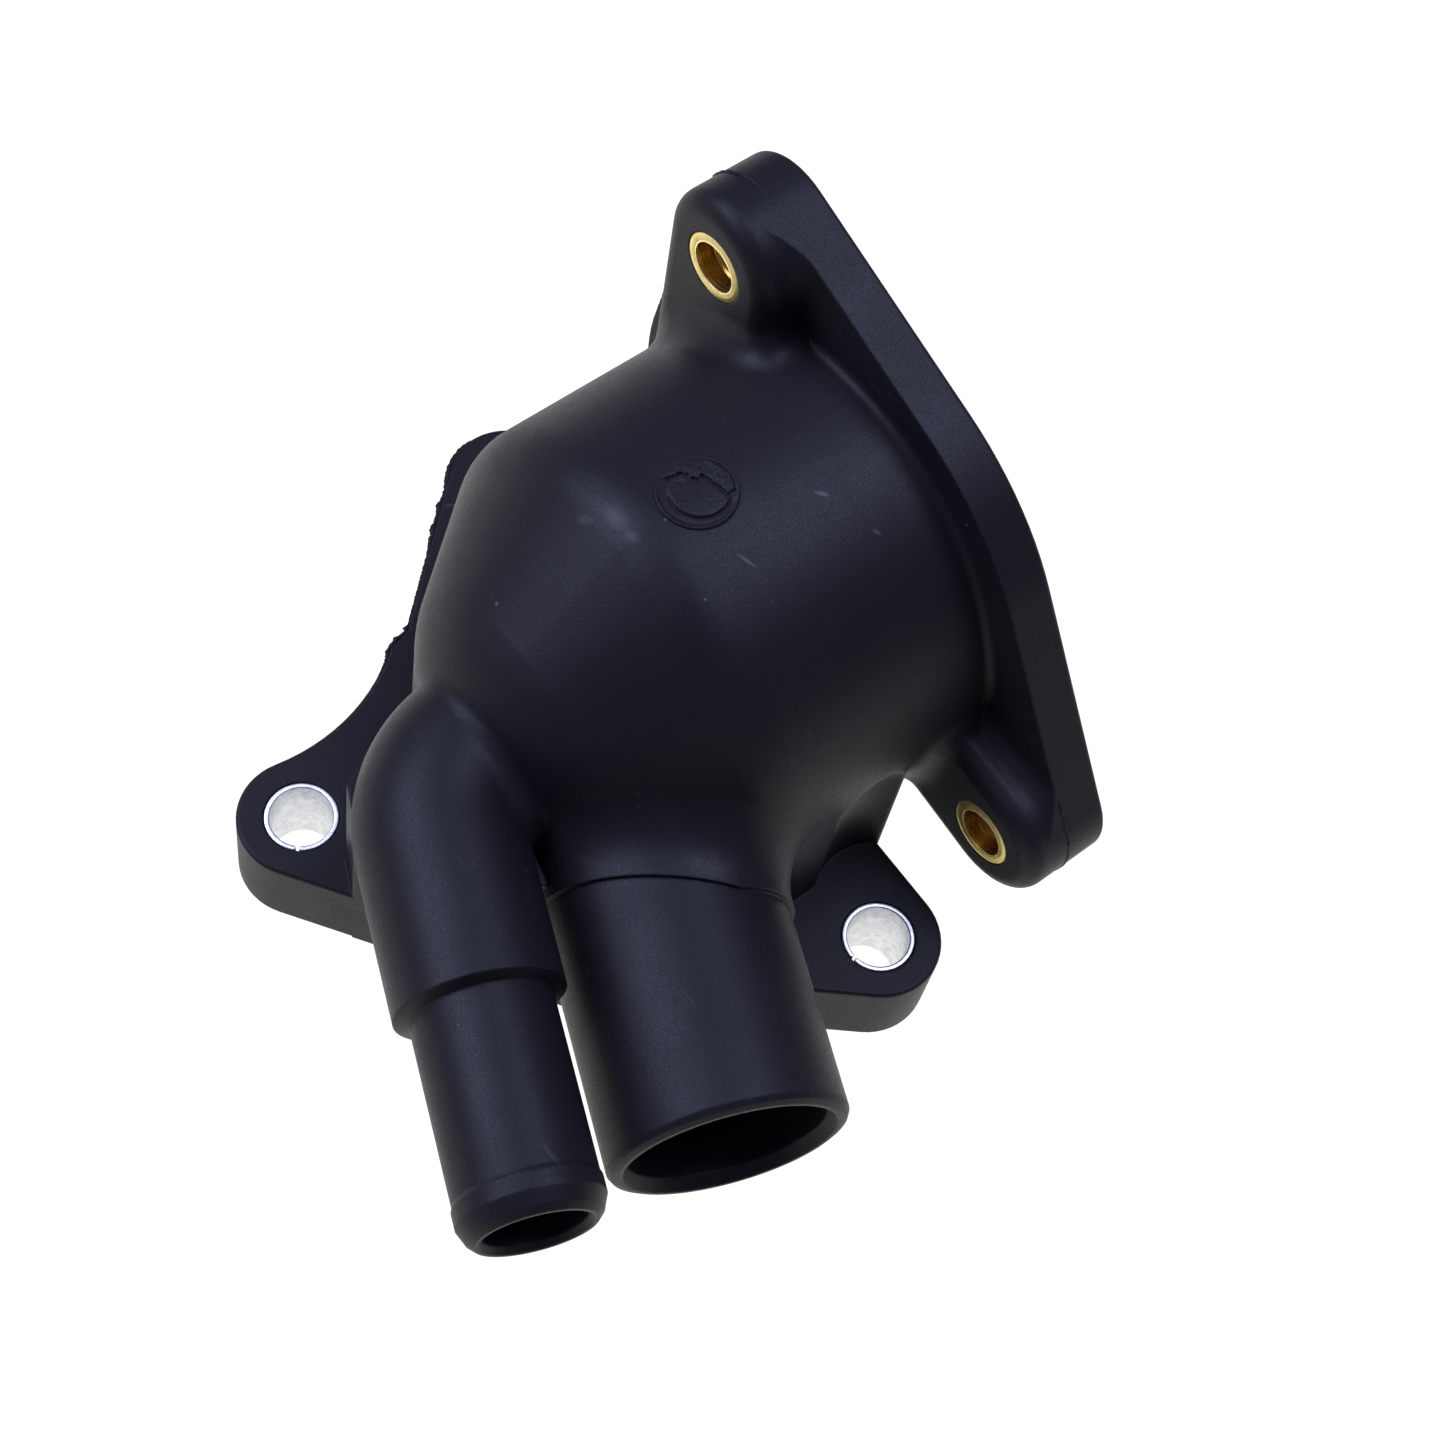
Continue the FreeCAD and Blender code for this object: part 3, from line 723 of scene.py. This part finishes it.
# %% Gate mark: its place and its tear
gate_x_mm = 9.6
gate_y_mm = 0.4
gate_crown_mm = 70.7
crown_r_mm = 32.0
gate_ring_r = 5.25
gate_disc_r = 3.85
gate_disc_at = (0.35, 0.35)
to_right = Vector((0.8296, -0.5760, 0)).normalized()
to_top = Vector((0.7020, 0.8845, 0)).normalized()
tear_points = [
    # s, t
    (-5.3, 2.0), (-3.4, 2.0), (-2.2, 2.5), (-1.2, 2.5), (-0.7, 1.8), (0.1, 1.8), (0.5, 2.5),
    (1.1, 1.9), (2.2, 1.0), (3.0, 0.3), (3.6, -0.3), (4.3, 0.3), (5.4, 0.6)]


def tear_line(s):
    """The t of the torn edge at s: straight runs between the points, made ragged by noise."""
    for (s0, t0), (s1, t1) in zip(tear_points, tear_points[1:]):
        if s <= s1:
            break
    share = min(1.0, max(0.0, (s - s0) / (s1 - s0)))
    ragged = (0.26 * noise.noise(Vector((s / 0.34, 3.1, 0)))
              + 0.12 * noise.noise(Vector((s / 0.12, 8.7, 0))))
    return t0 + (t1 - t0) * share + ragged


def torn_crumbs(s, t):
    """Torn plastic: crumbs of about 0.4 mm with finer ones on them."""
    coarse = noise.noise(Vector((s / 0.45, t / 0.32, 7.0)))
    fine = noise.noise(Vector((s / 0.16, t / 0.14, 2.0)))
    return coarse + 0.5 * fine


print("the tear crosses the middle at", round(tear_line(0), 2), "mm")

# %% [markdown]
# The height of the mark is a sum of simple forms. Each is a soft hump or step, so the numbers
# are easy to read off a close look at the photo: how high, how wide, and where.

# %% Gate mark: its heights in mm
base_mm = 0.10
bead_mm = 0.26              # the bead just inside the ring's edge, as high as it is wide
bead_inset_mm = 0.32
fall_mm = 0.42              # the fall from the bead to below the crown
groove_depth_mm = 0.50
groove_width_mm = 0.13
disc_mm = 0.10
stub_mm = 0.42
foot_depth_mm = 0.22        # the shadowed line at the foot of the stub
foot_at_mm = 0.16
foot_width_mm = 0.14
patch_mm = 0.22             # rougher crumbs on the left of the stub
pit_mm = 0.20
nub_mm = 0.18


def hump(s, t, middle, size):
    """A soft round hump: 1 at its middle and almost 0 at twice its size."""
    return math.exp(-((s - middle[0]) / size[0]) ** 2 - ((t - middle[1]) / size[1]) ** 2)


def ridge(away, width):
    """A soft ridge: 1 on its line and almost 0 at twice its width."""
    return math.exp(-(away / width) ** 2)


def gate_height(s, t):
    """Height above the crown in mm."""
    r = math.hypot(s, t)
    height = base_mm + bead_mm * ridge(r - gate_ring_r + bead_inset_mm, bead_mm)
    height -= fall_mm * smooth(gate_ring_r - bead_mm, gate_ring_r, r)
    off = math.hypot(s - gate_disc_at[0], t - gate_disc_at[1])
    below = tear_line(s) - t
    under = smooth(0.3, 1.2, below) * smooth(0.9, -0.2, t - 0.3 * s)
    height -= groove_depth_mm * under * ridge(off - gate_disc_r, groove_width_mm)
    height += disc_mm * smooth(gate_disc_r + 0.05, gate_disc_r - 0.2, off) * smooth(0.0, 0.3, below)
    crumbs = torn_crumbs(s, t)
    inside = smooth(gate_ring_r - 0.4, gate_ring_r - 1.0, r)
    height += inside * smooth(0.10, -0.10, below) * (stub_mm + 0.08 * crumbs)
    height -= inside * foot_depth_mm * ridge(below - foot_at_mm, foot_width_mm)
    height += inside * patch_mm * hump(s, t, (-2.2, 2.1), (1.3, 0.7)) * crumbs
    height -= pit_mm * hump(s, t, (1.4, -1.25), (0.20, 0.15))
    height += nub_mm * hump(s, t, (4.4, -0.6), (0.20, 0.20))
    height += inside * 0.035 * crumbs
    return height


print("height in the middle", round(gate_height(0, 0), 3), "mm")

# %% Gate mark: the piece
gate_rings = 84
gate_spokes = 280
gate_hole_mm = 0.02         # the rings start here, so that the middle face isn't a point
gate_skirt_mm = 0.3         # how far the outer edge goes down into the chamber's wall


def gate_mark():
    """The rings of the mark, laid on the round crown and sunk at the edge."""
    rows = []
    for i in range(gate_rings + 1):
        r = gate_hole_mm + (gate_ring_r - gate_hole_mm) * i / gate_rings
        row = []
        for j in range(gate_spokes):
            angle = 2 * math.pi * j / gate_spokes
            s = r * math.cos(angle)
            t = r * math.sin(angle)
            plan = to_right * s + to_top * t
            y = gate_y_mm + plan.y
            drop = crown_r_mm - math.sqrt(crown_r_mm ** 2 - y ** 2)
            z = gate_crown_mm - drop + gate_height(s, t)
            row.append(Vector((gate_x_mm + plan.x, y, z)) * MM)
        rows.append(row)
    rows.append([point - Vector((0, 0, gate_skirt_mm * MM)) for point in rows[-1]])
    mark = mesh_piece("gate_mark", rows, False, True, gate_nylon)
    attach(mark, "root")
    print("gate mark", len(mark.data.polygons), "faces")


gate_nylon = nylon("torn_gate_nylon")
gate_mark()

# %% [markdown]
# ## Flash
# Where the two halves of a mould meet, a little melt creeps out and leaves a thin ragged edge,
# the flash. The photo shows it along the plate's long left edge, on the flange's far rim and as
# a fine line round both ears. A bump would vanish from the side, where flash shows best, so
# thin strips with a wandering width lie along those edges.

# %% Flash strips
wander_step = 6             # the width changes course at every sixth point
jitter_share = 0.25
flash_root_mm = 0.25        # how deep a strip is rooted in the moulding
flash_tip_share = 0.35      # how thick its tip is, as a share of its root


def wander(seed, count, low, high):
    """A smooth random run of values between low and high."""
    draw = random.Random(seed)
    coarse = [draw.random() for _ in range(count // wander_step + 3)]
    values = []
    for i in range(count):
        span = i / wander_step
        k = int(span)
        share = smooth(0, 1, span - k)
        value = coarse[k] * (1 - share) + coarse[k + 1] * share
        value = (1 - jitter_share) * value + jitter_share * draw.random()
        values.append(low + (high - low) * value)
    return values


def flash_strip(name, path, outward, thick, widths, up_axis):
    """A thin strip on a path of points in mm, standing out by each width."""
    rows = []
    for point, out, width in zip(path, outward, widths):
        rise = up_axis * thick / 2
        tip_rise = rise * flash_tip_share
        root = point - out * flash_root_mm
        tip = point + out * width
        rows.append([(root - rise) * MM, (tip - tip_rise) * MM, (tip + tip_rise) * MM,
                     (root + rise) * MM])
    strip = mesh_piece(name, rows, False, True, flash_nylon)
    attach(strip, "root")
    print(name, "length", round(sum((b - a).length for a, b in zip(path, path[1:])), 1), "mm")


flash_nylon = nylon("thin_flash_nylon")

# %% [markdown]
# A strip has to lie exactly on the moulding. Its path could be typed in point by point, but it
# would miss the skin wherever a number is a little off. Instead, rays run from outside towards
# a centre, one for each step of an angle, and each stops where it meets the moulding.

# %% Paths on the moulding's skin
ray_start_mm = 70
along_x = Vector((1, 0, 0))
along_y = Vector((0, 1, 0))
along_z = Vector((0, 0, 1))
skin = BVHTree.FromPolygons([housing.matrix_world @ corner.co for corner in housing.data.vertices],
                            [face.vertices[:] for face in housing.data.polygons])


def skin_path(centre, first, second, degrees):
    """Where rays towards a centre meet the moulding, in mm, with the way out at each place."""
    points = []
    outward = []
    for degree in degrees:
        out = first * math.cos(math.radians(degree)) + second * math.sin(math.radians(degree))
        hit, normal = skin.ray_cast((centre + out * ray_start_mm) * MM, -out)[:2]
        normal = first * normal.dot(first) + second * normal.dot(second)
        points.append(hit / MM)
        outward.append(normal.normalized())
    return points, outward


def spread(low, high, count):
    """Even steps from low to high."""
    return [low + (high - low) * i / (count - 1) for i in range(count)]


print("five even steps", spread(0, 2, 5))

# %% [markdown]
# On the plate's left edge the flash stands out in two lumpy runs, with fine teeth all along.
# The angles run round the plate, from 0 along x.

# %% Flash on the plate's edge
edge_middle = Vector((0, 20, 12.9))     # just under the plate's upper face
edge_steps = 300
edge_thick_mm = 0.5
edge_least_mm = 0.02
edge_lump_mm = 0.62
edge_tooth_mm = 0.14


def between(value, start, full, fade, end):
    """1 from full to fade, 0 before start and after end."""
    return smooth(start, full, value) * smooth(end, fade, value)


edge_degrees = spread(62, 158, edge_steps)
edge_path, edge_out = skin_path(edge_middle, along_x, along_y, edge_degrees)
lumps = wander(3, edge_steps, 0.0, edge_lump_mm)
teeth = [random.Random(i).random() for i in range(edge_steps)]
edge_widths = []
for degree, lump, tooth in zip(edge_degrees, lumps, teeth):
    lumpy = between(degree, 62, 66, 80, 92) + between(degree, 128, 132, 146, 152)
    toothed = smooth(158, 150, degree)
    edge_widths.append(edge_least_mm + lumpy * lump + edge_tooth_mm * tooth * toothed)
flash_strip("plate_flash", edge_path, edge_out, edge_thick_mm, edge_widths, along_z)

# %% [markdown]
# A parting line runs round the flange and its ears. On the far rim it has a short ragged run of
# flash, and round the end of each ear it is a fine line. The angles run round each centre, from
# 0 along y.

# %% Flash on the flange
rim_middle = Vector((35.7, 0, 38.7))
rim_steps = 60
rim_thick_mm = 0.5
rim_path, rim_out = skin_path(rim_middle, along_y, along_z, spread(-12, 20, rim_steps))
rim_widths = wander(11, rim_steps, 0.0, 0.5)
flash_strip("flange_flash", rim_path, rim_out, rim_thick_mm, rim_widths, along_x)

# %% Parting lines round the ears
ear_line_x = 35.6
ear_thick_mm = 0.4
upper_ear = Vector((ear_line_x, 22.6, 74.9))
lower_ear = Vector((ear_line_x, -42.4, 27.6))
upper_steps = 90
lower_steps = 130

upper_path, upper_out = skin_path(upper_ear, along_y, along_z, spread(100, 20, upper_steps))
upper_widths = [0.22 * smooth(0, 30, i) + width
                for i, width in enumerate(wander(5, upper_steps, -0.05, 0.12))]
flash_strip("upper_ear_flash", upper_path, upper_out, ear_thick_mm, upper_widths, along_x)

lower_path, lower_out = skin_path(lower_ear, along_y, along_z, spread(116, 262, lower_steps))
lower_widths = [0.04 + 0.16 * smooth(60, 90, i) + width
                for i, width in enumerate(wander(8, lower_steps, 0.0, 0.20))]
flash_strip("lower_ear_flash", lower_path, lower_out, ear_thick_mm, lower_widths, along_x)
